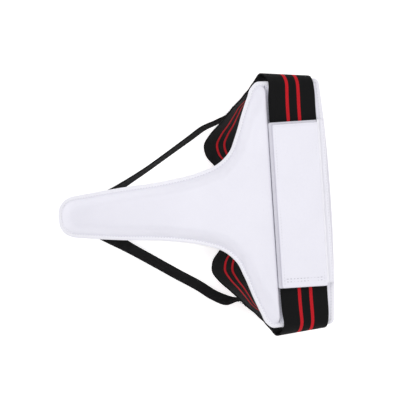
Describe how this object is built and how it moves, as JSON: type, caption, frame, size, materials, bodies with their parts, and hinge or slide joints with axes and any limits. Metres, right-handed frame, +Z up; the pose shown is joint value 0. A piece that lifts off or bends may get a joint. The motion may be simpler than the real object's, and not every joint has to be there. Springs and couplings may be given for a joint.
{
  "type": "groin guard",
  "caption": "Padded T-shaped groin guard for martial arts, with an elastic waistband folded into a loop, a closure flap over it and elastic leg straps.",
  "frame": {"origin": "centre of the bounding box's bottom face: the guard lies face up on a table at z = 0, resting on its waistband's loop and the tongue's tip", "axes": "+X from the tongue that goes between the legs to the waist edge, +Y to the wearer's left hip as the guard lies face up, +Z up, out of the guard's front face"},
  "size_m": [0.2932, 0.2814, 0.0751],
  "materials": {
    "white_leather": "satin",
    "white_lining": "matte",
    "foam": "matte",
    "plate_plastic": "matte",
    "black_elastic": "matte",
    "hook_and_loop": "matte"
  },
  "bodies": {
    "guard": {"back_lining": "white_lining", "comfort_foam": "foam", "impact_plate": "plate_plastic", "saddle_foam": "foam", "saddle_cover": "white_leather", "yoke_foam": "foam", "yoke_cover": "white_leather", "edge_binding": "white_leather", "tip_binding": "white_leather", "flap_hinge_tape": "white_leather", "waistband_front": "black_elastic", "waistband_loop_tape": "hook_and_loop", "leg_strap_left": "black_elastic", "leg_strap_right": "black_elastic"},
    "flap": {"flap_cover": "white_leather", "flap_stiffener": "foam", "flap_backing": "white_lining", "flap_hook_tape": "hook_and_loop"},
    "waist_loop": {"waistband_rear": "black_elastic", "waistband_side_left": "black_elastic", "waistband_side_right": "black_elastic"}
  },
  "joints": [
    {"name": "flap_hinge", "type": "hinge", "parent": "guard", "child": "flap", "pos_m": [0.1383, 0, 0.07038], "axis": [0, 1, 0], "range_deg": [0, 175]},
    {"name": "loop_swing", "type": "hinge", "parent": "guard", "child": "waist_loop", "pos_m": [0.1044, 0, 0.054], "axis": [0, 1, 0], "range_deg": [-25, 6], "deforming": ["waistband_side_left", "waistband_side_right", "leg_strap_left", "leg_strap_right"]}
  ]
}
